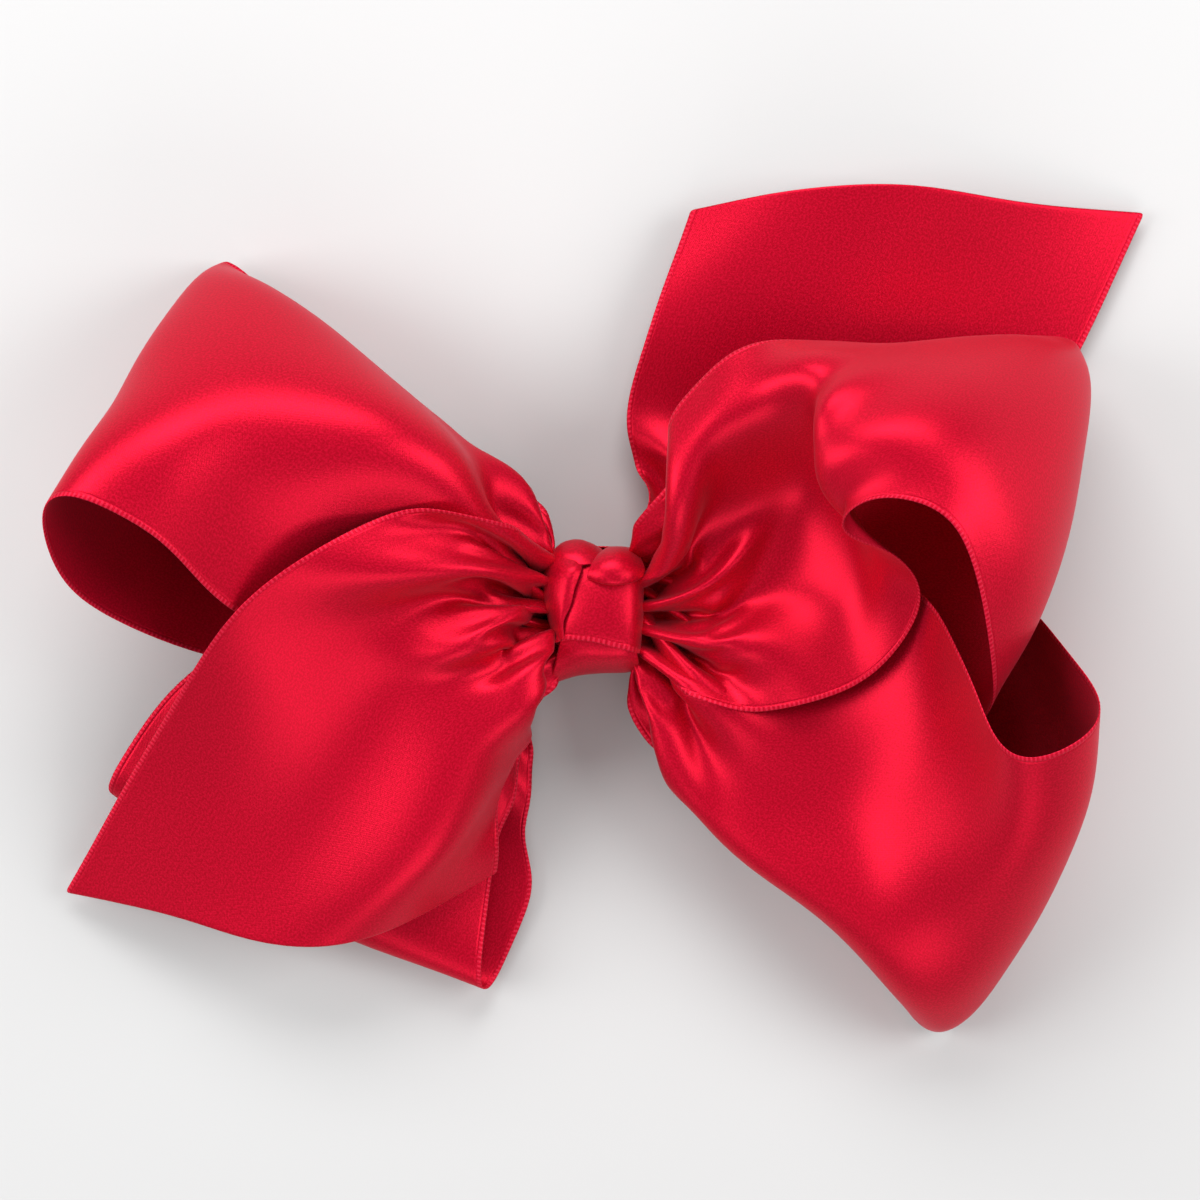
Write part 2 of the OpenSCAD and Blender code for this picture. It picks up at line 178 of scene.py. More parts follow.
def flatCut(lengths, nu, nv):
    # the strip laid flat, with both ends cut at half of the slope of its lengths
    slope, middle = np.polyfit(np.linspace(-0.5, 0.5, len(lengths)), lengths, 1)
    v = np.linspace(0, 1, nv)
    u = np.linspace(0, 1, nu)
    run = middle + slope * (v - 0.5)
    first = (middle - run) * 0.5
    flat = np.zeros((nu, nv, 2))
    flat[:, :, 0] = first[None, :] + u[:, None] * run[None, :]
    flat[:, :, 1] = ribbon["width"] * v[None, :]
    return flat, middle


def withPleats(grid, flat, oneEnd):
    # zigzag folds at the pinched ends, as tall as the spare width lets them be
    nu, nv = grid.shape[:2]
    v = np.linspace(0, 1, nv)
    length = flat[-1, :, 0].mean() - flat[0, :, 0].mean()
    s = np.linspace(0, length, nu)
    width = np.linalg.norm(np.diff(grid, axis=1), axis=2).sum(axis=1)
    normal = np.cross(np.gradient(grid, axis=0), np.gradient(grid, axis=1))
    normal /= np.linalg.norm(normal, axis=2, keepdims=True) + tiny
    normal *= np.sign(normal[:, :, 2:3] + tiny)
    out = grid.copy()
    for dist in (s,) if oneEnd else (s, length - s):
        folds = np.interp(dist, pleat["foldsAt"], pleat["folds"])
        fade = np.interp(dist, pleat["fadeAt"], pleat["fade"])
        spare = np.sqrt(np.maximum(ribbon["width"] ** 2 - width**2, 0)) / (4 * folds)
        height = np.minimum(spare, pleat["height"]) * fade
        wave = np.sin(2 * np.pi * folds[:, None] * (v[None, :] - 0.5) + pleat["phase"])
        wave = np.arcsin(wave * pleat["sharpness"]) / (np.pi / 2)
        out += (height[:, None] * wave)[:, :, None] * normal
    return out


def threadPairs(flat):
    # neighbours along, across and on both diagonals, in sets that share no point
    nu, nv = flat.shape[:2]
    rows, columns = np.arange(nu), np.arange(nv)
    sets = []
    for k in (0, 1):
        i, j = np.arange(k, nu - 1, 2), np.arange(k, nv - 1, 2)
        sets.append((np.ix_(i, columns), np.ix_(i + 1, columns), 1.0))
        sets.append((np.ix_(rows, j), np.ix_(rows, j + 1), 1.0))
    for k in (0, 1):
        i = np.arange(k, nu - 1, 2)
        for q in (0, 1):
            j = np.arange(q, nv - 1, 2)
            sets.append((np.ix_(i, j), np.ix_(i + 1, j + 1), cloth["shear"]))
            sets.append((np.ix_(i, j + 1), np.ix_(i + 1, j), cloth["shear"]))
    return [(a, b, np.linalg.norm(flat[a] - flat[b], axis=2, keepdims=True), stiff)
            for a, b, stiff in sets]


def pull(p, a, b, rest, stiff, slack):
    d = p[b] - p[a]
    span = np.linalg.norm(d, axis=2, keepdims=True) + tiny
    move = d * (0.5 * stiff * np.where(span < rest, slack, 1) * (span - rest) / span)
    p[a] += move
    p[b] -= move


def relax(p, flat, goal, weight, body, slack, passes, pinned, rounds):
    # the strip keeps its length, bends stiffly and may buckle where slack is small
    pairs = threadPairs(flat)
    start = p.copy()
    for n in range(rounds):
        p += weight * (goal - p)
        for ax in (0, 1):
            q = np.swapaxes(p, 0, ax)
            for k in range(passes):
                bow = q[:-2] - 2 * q[1:-1] + q[2:]
                bow = bow * np.swapaxes(body, 0, ax)[1:-1] * cloth["bendStep"]
                q[1:-1] += bow
                q[:-2] -= 0.5 * bow
                q[2:] -= 0.5 * bow
        for a, b, rest, stiff in pairs:
            pull(p, a, b, rest, stiff, slack[a])
        p[:, :, 2] = np.maximum(p[:, :, 2], cloth["floor"])
        p[pinned] = start[pinned]
    return p


def cubicRows(q, i, f):
    n = len(q)
    a = q[np.maximum(i - 1, 0)]
    b = q[i]
    c = q[np.minimum(i + 1, n - 1)]
    d = q[np.minimum(i + 2, n - 1)]
    return b + 0.5 * f * (c - a + f * (2 * a - 5 * b + 4 * c - d + f * (3 * (b - c) + d - a)))


def upsample(p, nu, nv):
    mu, mv = p.shape[:2]
    u = np.linspace(0, mu - 1, nu)
    v = np.linspace(0, mv - 1, nv)
    i = np.clip(u.astype(int), 0, mu - 2)
    j = np.clip(v.astype(int), 0, mv - 2)
    rows = np.stack([cubicRows(p[:, c], i, (u - i)[:, None]) for c in range(mv)], axis=1)
    cols = cubicRows(np.swapaxes(rows, 0, 1), j, (v - j)[:, None, None])
    return np.swapaxes(cols, 0, 1)


def relaxedSheet(name, spec):
    # one stretch of the wide ribbon, settled coarse first and then finer
    ribs, oneEnd = spec["ribs"], spec.get("oneEnd", False)
    lengths = guideSurface(ribs, *guide["measure"])[1]
    shape = None
    for spacing, rounds, passes in cloth["levels"]:
        nv = int(round(ribbon["width"] / spacing)) + 1
        nu = int(round(float(np.mean(lengths)) / spacing)) + 1
        flat, length = flatCut(lengths, nu, nv)
        goal = withPleats(guideSurface(ribs, nu, nv)[0], flat, oneEnd)
        if shape is None:
            shape = goal.copy()
        else:
            shape = upsample(shape, nu, nv)
            shape[0] = goal[0]
            if not oneEnd:
                shape[-1] = goal[-1]
        s = np.linspace(0, length, nu)
        dist = s if oneEnd else np.minimum(s, length - s)
        far = np.clip((dist - cloth["holdFrom"]) / cloth["holdOver"], 0, 1)
        weight = spec.get("hold", cloth["hold"]) * far ** cloth["holdPower"]
        near = (dist - cloth["pleatAt"]) / cloth["pleatSpread"]
        weight = weight + cloth["pleatHold"] * np.exp(-near ** 2)
        away = np.clip((dist - cloth["awayFrom"]) / cloth["awayOver"], 0, 1)
        body = cloth["bodyAtPinch"] + spec.get("body", cloth["body"]) * away
        slack = 1 - (1 - cloth["slack"]) * away
        weight, body, slack = (np.repeat(x[:, None], nv, axis=1)[:, :, None] for x in (weight, body, slack))
        pinned = np.zeros((nu, nv), bool)
        pinned[0] = True
        pinned[-1] = not oneEnd
        shape = relax(shape, flat, goal, weight, body, slack, passes, pinned, rounds)
    print(name, "settled, %.0f mm long" % length)
    return shape, flat, length


# raises one stretch where the stretch under it would show through

layerLift = {
    "gap": 0.9, "reach": 1.7, "window": 7.0,
    "blurs": 14, "keep": 0.97, "clearOfPinch": 3, "easeIn": 8,
}


def liftOver(upper, lower):
    spec = layerLift
    low = lower.reshape(-1, 3)
    need = np.zeros(upper.shape[:2])
    for i, row in enumerate(upper):
        apart = (row[:, None, 0] - low[None, :, 0]) ** 2 + (row[:, None, 1] - low[None, :, 1]) ** 2
        rise = low[None, :, 2] - row[:, None, 2] + spec["gap"]
        close = (apart < spec["reach"] ** 2) & (rise > 0) & (rise < spec["window"])
        need[i] = np.where(close, rise, 0).max(axis=1)
    fromPinch = np.abs(upper[:, :, 0]) - ribbon["pinchX"] - spec["clearOfPinch"]
    need *= np.clip(fromPinch / spec["easeIn"], 0, 1)
    lift = need.copy()
    for n in range(spec["blurs"]):
        for axis in (0, 1):
            q = np.swapaxes(lift, 0, axis)
            padded = np.concatenate([q[:1], q, q[-1:]])
            q[:] = 0.25 * padded[:-2] + 0.5 * q + 0.25 * padded[2:]
        lift = np.maximum(lift, spec["keep"] ** n * need)
    return upper + np.stack([0 * lift, 0 * lift, lift], axis=2)


def meshSheet(name, shape, flat):
    # a grid mesh on the worked-out shape, with the flat strip in metres as its UV
    nu, nv = shape.shape[:2]
    bpy.ops.object.select_all(action="DESELECT")
    bpy.ops.mesh.primitive_grid_add(x_subdivisions=nu - 1, y_subdivisions=nv - 1, size=1)
    sheet = bpy.context.object
    sheet.name = name
    mesh = sheet.data
    mesh.name = name
    co = np.zeros(len(mesh.vertices) * 3)
    mesh.vertices.foreach_get("co", co)
    co = co.reshape(-1, 3)
    iu = np.rint((co[:, 0] + 0.5) * (nu - 1)).astype(int)
    iv = np.rint((co[:, 1] + 0.5) * (nv - 1)).astype(int)
    uv = mesh.uv_layers.active or mesh.uv_layers.new(name="UVMap")
    loopVerts = np.zeros(len(mesh.loops), int)
    mesh.loops.foreach_get("vertex_index", loopVerts)
    uv.data.foreach_set("uv", (flat[iu, iv][loopVerts] * mm).ravel())
    mesh.vertices.foreach_set("co", (shape[iu, iv] * mm).ravel())
    mesh.update()
    return sheet


def finishRibbon(sheet, material):
    bpy.ops.object.select_all(action="DESELECT")
    sheet.select_set(True)
    bpy.context.view_layer.objects.active = sheet
    wall = sheet.modifiers.new("Wall", "SOLIDIFY")
    wall.thickness = ribbon["thickness"] * mm
    wall.offset = 0
    bpy.ops.object.modifier_apply(modifier="Wall")
    smooth = sheet.modifiers.new("Smooth", "SUBSURF")
    smooth.levels = smooth.render_levels = 1
    bpy.ops.object.modifier_apply(modifier="Smooth")
    bpy.ops.object.shade_smooth()
    sheet.data.materials.append(material)


def flatGrid(length, width, nu, nv, start=0):
    flat = np.zeros((nu, nv, 2))
    flat[:, :, 0] = np.linspace(0, length, nu)[:, None]
    flat[:, :, 1] = start + np.linspace(0, width, nv)[None, :]
    return flat


def carry(piece, node):
    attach(piece, "bow")
    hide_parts(node)


# materials

class Val:
    def __init__(self, tree, socket):
        self.tree, self.socket = tree, socket

    @staticmethod
    def node(tree, kind, inputs=(), **settings):
        made = tree.nodes.new(kind)
        for key, value in settings.items():
            setattr(made, key, value)
        for i, value in inputs:
            if isinstance(value, Val):
                tree.links.new(value.socket, made.inputs[i])
            else:
                made.inputs[i].default_value = value
        return made

    def math(self, operation, *others):
        made = Val.node(self.tree, "ShaderNodeMath", enumerate((self, *others)), operation=operation)
        return Val(self.tree, made.outputs[0])

    def __add__(self, other):
        return self.math("ADD", other)

    def __mul__(self, other):
        return self.math("MULTIPLY", other)

    def __sub__(self, other):
        return self.math("SUBTRACT", other)

    def __rsub__(self, other):
        return (self * -1.0) + other

    __radd__, __rmul__ = __add__, __mul__

    def smooth(self, low, high):
        inputs = [("Value", self), ("From Min", low), ("From Max", high)]
        made = Val.node(self.tree, "ShaderNodeMapRange", inputs, interpolation_type="SMOOTHSTEP")
        return Val(self.tree, made.outputs[0])

    def to(self, socket):
        self.tree.links.new(self.socket, socket)


def newMaterial(name):
    material = bpy.data.materials.new(name)
    material.use_nodes = True
    return material, material.node_tree, material.node_tree.nodes["Principled BSDF"]


def noise(tree, place, scale, **settings):
    inputs = [("Vector", place), ("Scale", scale)] + list(settings.items())
    return Val(tree, Val.node(tree, "ShaderNodeTexNoise", inputs).outputs[0])


def mixColour(tree, factor, a, b):
    inputs = [("Factor", factor), (6, a if isinstance(a, Val) else (*a, 1)), (7, (*b, 1))]
    return Val(tree, Val.node(tree, "ShaderNodeMix", inputs, data_type="RGBA").outputs[2])


def bumpNormal(tree, shader, height, strength, distance):
    inputs = [("Strength", strength), ("Distance", distance), ("Height", height)]
    made = Val.node(tree, "ShaderNodeBump", inputs)
    tree.links.new(made.outputs[0], shader.inputs["Normal"])


satinLook = {
    "base": (0.62, 0.001, 0.026),
    "deep": (0.46, 0.000, 0.014),
    "thread": (0.74, 0.020, 0.060),
    "threadShare": 0.75,
    "mottle": (0.35, 0.68),
    "roughness": 0.40,
    "roughnessFrom": {"grain": 0.16, "patch": 0.06, "selvage": 0.12, "middle": 0.11},
    # stitched edge: its width and how softly it ends, the pitch and rise of its ticks,
    # and the groove beside it
    "selvage": 0.9 * mm,
    "selvageSoft": (1.15, 0.85),
    "pick": 0.85 * mm,
    "pickRise": (-0.1, 0.5),
    "groove": 0.35 * mm,
    "grooveAt": 1.25,
    "weave": 0.42 * mm,
    "patchScale": 38.0,
    "bumpFrom": {"grain": 0.5, "weave": 0.12, "tick": 1.6, "groove": 1.2, "selvage": 0.8},
    "bumpStrength": 0.32,
    "bumpDistance": 0.12 * mm,
    "shader": {
        "Metallic": 0.55,
        "Specular IOR Level": 0.35,
        "Specular Tint": (1.0, 0.45, 0.5, 1),
        "Sheen Weight": 0.15,
        "Sheen Roughness": 0.45,
        "Sheen Tint": (1.0, 0.25, 0.32, 1),
    },
}


def satin(name, width):
    # woven satin with a stitched edge along both sides of a strip of this width
    look = satinLook
    rough, relief = look["roughnessFrom"], look["bumpFrom"]
    material, tree, shader = newMaterial(name)
    uv = Val(tree, Val.node(tree, "ShaderNodeUVMap", uv_map="UVMap").outputs[0])
    split = Val.node(tree, "ShaderNodeSeparateXYZ", [(0, uv)])
    along, across = Val(tree, split.outputs[0]), Val(tree, split.outputs[1])
    edge = across.math("MINIMUM", width - across)
    selvage = edge.smooth(*(look["selvage"] * share for share in look["selvageSoft"]))
    tick = (along * (2 * math.pi / look["pick"])).math("SINE").smooth(*look["pickRise"]) * selvage
    groove = (edge - look["selvage"] * look["grooveAt"]).math("ABSOLUTE").smooth(look["groove"], 0.0)
    grain = noise(tree, uv, 1 / look["weave"], Detail=1.5, Roughness=0.6)
    patch = noise(tree, uv, look["patchScale"], Detail=2.0)
    weft = (along * (2 * math.pi / look["weave"])).math("SINE")
    warp = (across * (2 * math.pi / look["weave"])).math("SINE")
    colour = mixColour(tree, grain.smooth(*look["mottle"]), look["deep"], look["base"])
    colour = mixColour(tree, tick * look["threadShare"], colour, look["thread"])
    colour.to(shader.inputs["Base Color"])
    height = (grain * relief["grain"] + weft * warp * relief["weave"] + tick * relief["tick"]
              - groove * relief["groove"] + selvage * relief["selvage"])
    bumpNormal(tree, shader, height, look["bumpStrength"], look["bumpDistance"])
    roughness = (grain * rough["grain"] + patch * rough["patch"] + selvage * rough["selvage"]
                 + (look["roughness"] - rough["middle"]))
    roughness.to(shader.inputs["Roughness"])
    for key, value in look["shader"].items():
        shader.inputs[key].default_value = value
    return material


grainLook = {"scale": 900.0, "detail": 3.0, "depth": 0.1, "bumpStrength": 0.15, "bumpDistance": 0.05 * mm}


def plain(name, colour, roughness, metallic=0.0):
    # fine grained steel, thread, glue or rubber
    look = grainLook
    material, tree, shader = newMaterial(name)
    place = Val.node(tree, "ShaderNodeTexCoord")
    grain = noise(tree, Val(tree, place.outputs["Object"]), look["scale"], Detail=look["detail"])
    shader.inputs["Base Color"].default_value = (*colour, 1)
    shader.inputs["Metallic"].default_value = metallic
    (grain * (2 * look["depth"]) + (roughness - look["depth"])).to(shader.inputs["Roughness"])
    bumpNormal(tree, shader, grain, look["bumpStrength"], look["bumpDistance"])
    return material


# the wide ribbon: guide nets of its six stretches, ribs from pinch to pinch or to the cut end

def pinch(side, z, n, up=1):
    half = up * ribbon["pinchHalf"]
    return [(side * ribbon["pinchX"], half * (2 * j / (n - 1) - 1), z) for j in range(n)]


def layerZ(i):
    return ribbon["lowestLayer"] + ribbon["layerStep"] * i


upperLeftLoop = {"ribs": [
    pinch(-1, layerZ(3), 5),
    [(-22, -7, 18), (-20, 2, 21), (-16, 14, 26), (-14, 21, 19), (-13, 19, 13)],
    [(-43, -6, 27), (-40, 8, 32), (-31, 29, 42), (-33, 38, 20), (-30, 33, 10)],
    [(-61, -2, 37), (-58, 15, 42), (-51, 38, 41), (-50, 52, 18), (-46, 46, 5)],
    [(-75, 13, 50), (-72, 27, 50), (-68, 46, 34), (-65, 60, 11), (-62, 59, 4)],
    [(-91, 19, 52), (-86, 30, 42), (-79, 45, 25), (-72, 59, 8), (-68, 62, 3)],
    [(-91, 5, 40), (-85, 16, 29), (-76, 34, 14), (-68, 55, 3), (-63, 61, 2)],
    [(-77, -5, 23), (-72, 7, 17), (-64, 26, 9), (-56, 45, 2), (-53, 51, 2)],
    [(-59, -10, 17), (-54, 1, 13), (-45, 19, 9), (-38, 35, 4), (-36, 40, 3)],
    [(-31, -9, 16), (-28, -1, 15), (-24, 9, 13), (-21, 18, 8), (-20, 20, 7)],
    pinch(-1, layerZ(2), 5)]}

lowerLeftLoop = {"ribs": [
    pinch(-1, layerZ(1), 4, -1),
    [(-29, 3, 12), (-25, -7, 13), (-20, -16, 15), (-13, -22, 12)],
    [(-56, -2, 13), (-46, -18, 17), (-34, -32, 16), (-17, -39, 8)],
    [(-76, -15, 10), (-64, -30, 12), (-47, -44, 12), (-19, -52, 7)],
    [(-87, -32, 8), (-69, -44, 9), (-46, -57, 9), (-20, -67, 8)],
    [(-88, -34, 4), (-70, -45, 4), (-46, -59, 4), (-19, -69, 4)],
    [(-80, -30, 2), (-62, -40, 2), (-40, -52, 2), (-11, -50, 3)],
    [(-60, -20, 5), (-46, -29, 5), (-30, -38, 3), (-13, -42, 3)],
    [(-31, -8, 10.5), (-24, -14, 9), (-18, -20, 7), (-13, -26, 6)],
    pinch(-1, layerZ(0), 4, -1)]}

upperRightLoop = {"hold": 0.07, "body": 0.5, "ribs": [
    pinch(1, layerZ(4), 5),
    [(24, -17, 25), (22, -6, 24), (18, 7, 24), (15, 17, 34), (12, 22, 29)],
    [(46, -13, 28), (37, -2, 25), (28, 15, 22), (20, 31, 39), (16, 37, 33)],
    [(56, 1, 35), (45, 9, 28), (36, 21, 24), (28, 36, 40), (26, 45, 35)],
    [(52, 8, 42), (44, 17, 38), (40, 28, 38), (36, 41, 45), (39, 46, 31)],
    [(41, 13, 49), (36, 22, 52), (36, 33, 53), (45, 43, 41), (51, 46, 23)],
    [(46, 18, 57), (45, 28, 58), (50, 38, 50), (62, 46, 30), (70, 48, 14)],
    [(58, 15, 60), (60, 26, 58), (67, 37, 46), (80, 46, 22), (86, 47, 10)],
    [(66, -7, 50), (73, 8, 50), (82, 28, 36), (87, 40, 18), (86, 45, 9)],
    [(66, -19, 38), (74, -5, 37), (81, 15, 25), (82, 31, 14), (79, 41, 8)],
    [(53, -18, 25), (60, -6, 24), (66, 12, 19), (65, 29, 12), (61, 39, 8)],
    [(33, -10, 15), (34, 0, 15), (38, 14, 14), (38, 26, 11), (36, 33, 9)],
    pinch(1, layerZ(2), 5)]}

lowerRightLoop = {"ribs": [
    pinch(1, layerZ(3), 5, -1),
    [(23, 3, 17), (21, -6, 17), (16, -17, 21), (12, -23, 17), (11, -27, 12)],
    [(40, 3, 19), (39, -13, 21), (28, -32, 20), (23, -42, 19), (29, -43, 8)],
    [(55, 4, 31), (54, -16, 28), (45, -36, 22), (41, -55, 21), (46, -58, 6)],
    [(62, -8, 45), (62, -28, 36), (57, -50, 28), (54, -69, 16), (56, -71, 3)],
    [(70, -25, 52), (72, -40, 42), (69, -60, 24), (62, -77, 5), (60, -75, 3)],
    [(85, -18, 48), (85, -33, 36), (79, -53, 18), (68, -71, 3), (66, -73, 2)],
    [(81, -8, 37), (81, -23, 25), (75, -41, 12), (64, -60, 3), (62, -64, 2)],
    [(69, 5, 22), (68, -13, 13), (60, -31, 7), (50, -46, 3), (47, -51, 2)],
    [(44, 8, 12), (42, -7, 9), (36, -20, 6), (30, -30, 4), (28, -33, 4)],
    pinch(1, layerZ(1), 5, -1)]}

frontTail = {"oneEnd": True, "over": "upper_left_loop", "ribs": [
    pinch(-1, layerZ(4), 5, -1),
    [(-20, 16, 34), (-20, 7, 30), (-20, -3, 29), (-12, -14, 28), (-11, -19, 19)],
    [(-34, 15, 38), (-35, 3, 36), (-34, -12, 28), (-20, -27, 28), (-14, -27, 17)],
    [(-57, 4, 42), (-53, -9, 34), (-44, -26, 25), (-27, -42, 26), (-17, -34, 12)],
    [(-77, -22, 22), (-69, -32, 20), (-53, -44, 19), (-37, -53, 21), (-17, -42, 12)],
    [(-95, -51, 3), (-76, -55, 10), (-57, -60, 15), (-40, -58, 17), (-17, -47, 9)]]}

rearTail = {"oneEnd": True, "ribs": [
    pinch(1, layerZ(0), 5, -1),
    [(10, 23, 7), (15, 19, 7), (26, 16, 7), (33, 9, 6), (35, 0, 5)],
    [(6, 35, 5), (19, 37, 6), (36, 37, 5), (51, 30, 4), (60, 19, 4)],
    [(9, 49, 8), (22, 54, 9), (41, 53, 9), (61, 46, 4), (80, 34, 3)],
    [(17, 71, 6), (34, 74, 11), (57, 75, 12), (79, 72, 7), (99, 71, 2)]]}

stretches = {"upper_left_loop": upperLeftLoop, "lower_left_loop": lowerLeftLoop,
             "upper_right_loop": upperRightLoop, "lower_right_loop": lowerRightLoop,
             "front_tail": frontTail, "rear_tail": rearTail}

satinMaterial = satin("redSatin", ribbon["width"] * mm)
settled = {node: relaxedSheet(node, spec) for node, spec in stretches.items()}
for node, (shape, flat, length) in settled.items():
    if "over" in stretches[node]:
        shape = liftOver(shape, settled[stretches[node]["over"]][0])
    sheet = meshSheet(node + "_ribbon", shape, flat)
    finishRibbon(sheet, satinMaterial)
    carry(sheet, node)
    length * mm
print("wide ribbon ready")

# the knot: visible folds of the narrow ribbon; start is where a fold begins across its width

knot = {"ribbonWidth": 22 * mm, "grid": (40, 36), "leastFlat": 10.2}

knotTopFoldLeft = {"start": 3, "ribs": [
    [(-7.5, 6.5, 21.5), (-5, 7.2, 22.8), (-2.5, 7.4, 23.2), (0, 7.6, 22.6), (1.5, 7.8, 21.5)],
    [(-7.9, 8.4, 20.4), (-5.4, 9.6, 21.6), (-2.8, 9.8, 21.8), (-0.2, 9.3, 21), (1.5, 8.8, 20)],
    [(-7.9, 9.3, 17.5), (-5.6, 11.2, 18.4), (-2.9, 11.7, 18.4), (-0.4, 10.9, 17.8), (1.4, 9.8, 17)],
    [(-7.6, 9.6, 14.5), (-5.4, 11.4, 14.4), (-2.9, 11.8, 14.4), (-0.5, 11.2, 14), (1.3, 10.2, 13.6)],
    [(-7, 9.8, 11), (-5, 10.8, 10.6), (-2.8, 11, 10.6), (-0.6, 10.8, 10.6), (1.2, 10.4, 10.6)],
    [(-6.5, 10, 8), (-4.8, 10.3, 7.8), (-2.6, 10.4, 7.8), (-0.6, 10.3, 7.8), (1.2, 10.2, 7.8)]]}

knotSideFold = {"start": 4, "ribs": [
    [(-8.2, 8, 16.5), (-8, 8.6, 19.5), (-6, 9, 21.6), (-3.5, 9, 21.8), (-2, 8.4, 21)],
    [(-8.8, 5.5, 16.5), (-8.8, 5.8, 20), (-6.8, 6.2, 23), (-3.8, 6.8, 24.2), (-2.3, 6.6, 23.6)],
    [(-8.8, 2.5, 16.5), (-8.8, 2.8, 20.2), (-7.2, 3, 23.2), (-4.8, 3.4, 24.6), (-3.4, 3.6, 24.2)],
    [(-8.3, -0.5, 16.5), (-8.3, -0.5, 20), (-7.2, -0.2, 22.8), (-5.4, 0.2, 24.3), (-4.2, 0.4, 24.1)],
    [(-7.6, -3.4, 16.5), (-7.6, -3.4, 19.6), (-6.9, -3, 22), (-6, -2.6, 23.5), (-5.4, -2.4, 23.7)],
    [(-6.6, -6.4, 16.5), (-6.5, -6.4, 19), (-6.2, -6, 21), (-5.7, -5.6, 22.4), (-5.3, -5.2, 22.7)]]}

knotFrontPass = {"start": 0, "ribs": [
    [(-7, -6.2, 21), (-6.4, -2.2, 22), (-5.8, 2, 22.3), (-5.2, 6, 22), (-4.6, 9, 20.5)],
    [(-5.2, -5.6, 22.4), (-4.3, -2, 23.4), (-3.3, 1.8, 23.6), (-2.4, 5, 23.2), (-1.8, 8.5, 21.5)],
    [(-0.5, -5.9, 23.6), (0, -2.2, 24.3), (0.2, 1.5, 24.4), (0.4, 5, 23.8), (0.6, 8.5, 21.8)],
    [(3.3, -6.8, 23.6), (3.7, -2.8, 24.3), (3.8, 1.5, 24.4), (3.9, 5, 23.7), (4, 8.5, 21.6)],
    [(6.3, -7.6, 22.6), (6.7, -3, 23.2), (6.9, 1.5, 23.2), (6.9, 5, 22.6), (6.8, 8.4, 20.8)],
    [(7.6, -8, 20), (8.1, -3, 20.2), (8.3, 1.5, 20.2), (8.2, 5, 19.8), (8, 8, 18.6)],
    [(7.8, -8.2, 16.2), (8.2, -3, 16.2), (8.4, 1.5, 16.2), (8.3, 5, 16.2), (8.1, 8, 16.2)]]}

knotLowerPass = {"start": 5, "ribs": [
    [(-6, -5.5, 21.6), (-2.5, -4.8, 22.8), (1.5, -5, 23), (5, -5.5, 22.8), (7, -6.5, 21.6)],
    [(-6.6, -8, 20.6), (-3, -8, 21.6), (1, -8.2, 21.8), (5, -8.4, 21.6), (7.6, -8.8, 20.2)],
    [(-7.4, -11.3, 18.6), (-3.2, -10.4, 19), (1, -10.2, 19), (5, -10.2, 18.8), (7.7, -10, 17.6)],
    [(-7.8, -13.2, 15.6), (-3.4, -11.8, 15.4), (1, -11.3, 15.2), (5, -11.2, 15.2), (7.6, -10.8, 14.4)],
    [(-7.6, -13, 12), (-3.4, -11.6, 11), (1, -11.2, 11), (5, -11.1, 11), (7.4, -10.9, 11)],
    [(-7, -10.8, 8.6), (-3.2, -10.4, 8), (1, -10.2, 8), (5, -10.2, 8), (7, -10.2, 8)]]}

knotTopFoldRight = {"start": 3, "ribs": [
    [(-1, 5.4, 23.2), (1, 4.9, 23.8), (3.2, 4.6, 24.1), (5.6, 4.8, 23.6), (7.6, 5.2, 22)],
    [(-1.4, 5.2, 24), (0.8, 4.4, 25), (3.1, 4, 25.3), (5.9, 4.3, 24.7), (8.2, 5.2, 22.6)],
    [(-1, 6.8, 24.4), (1, 6.4, 25.5), (3.3, 6.2, 25.8), (6.2, 6.4, 24.8), (8.7, 6.8, 22)],
    [(0, 8.6, 23), (1.5, 8.7, 24.2), (3.6, 8.8, 24.4), (6, 8.5, 23.4), (8.3, 8, 20.6)],
    [(0.8, 9.6, 20), (2, 10.1, 20.6), (3.9, 10.3, 20.6), (6, 9.9, 19.8), (7.9, 9, 18)],
    [(1.2, 9.9, 15), (2.2, 10.5, 15), (4.1, 10.7, 15), (5.9, 10.5, 14.6), (7.5, 9.8, 14)],
    [(1.4, 10.2, 8.2), (2.4, 10.6, 8), (4.2, 10.7, 8), (5.8, 10.6, 8), (7.2, 10.2, 8.2)]]}

knotBackPass = {"start": 2, "ribs": [
    [(-6.5, 10.6, 13), (0, 10.8, 13), (6.5, 10.6, 13)],
    [(-6.5, 10.2, 8), (0, 10.4, 8), (6.5, 10.2, 8)],
    [(-6.5, 7.5, 6.3), (0, 7.5, 6), (6.5, 7.5, 5.6)],
    [(-6.5, 5.6, 4.8), (0, 5.6, 4.5), (6.5, 5.6, 4.1)],
    [(-6.5, 4.2, 4.1), (0, 4.2, 3.7), (6.5, 4.2, 3.2)],
    [(-6.5, 0, 4.1), (0, 0, 3.7), (6.5, 0, 3.2)],
    [(-6.5, -4.2, 4.1), (0, -4.2, 3.7), (6.5, -4.2, 3.2)],
    [(-6.5, -5.6, 4.8), (0, -5.6, 4.5), (6.5, -5.6, 4.1)],
    [(-6.5, -7.5, 6.3), (0, -7.5, 6), (6.5, -7.5, 5.6)],
    [(-6.5, -10.2, 8), (0, -10.4, 8), (6.5, -10.2, 8)],
    [(-6.5, -10.6, 13), (0, -10.8, 13), (6.5, -10.6, 13)]]}

knotFolds = {"knot_top_fold_left": knotTopFoldLeft, "knot_side_fold": knotSideFold,
             "knot_front_pass": knotFrontPass, "knot_lower_pass": knotLowerPass,
             "knot_top_fold_right": knotTopFoldRight, "knot_back_pass": knotBackPass}

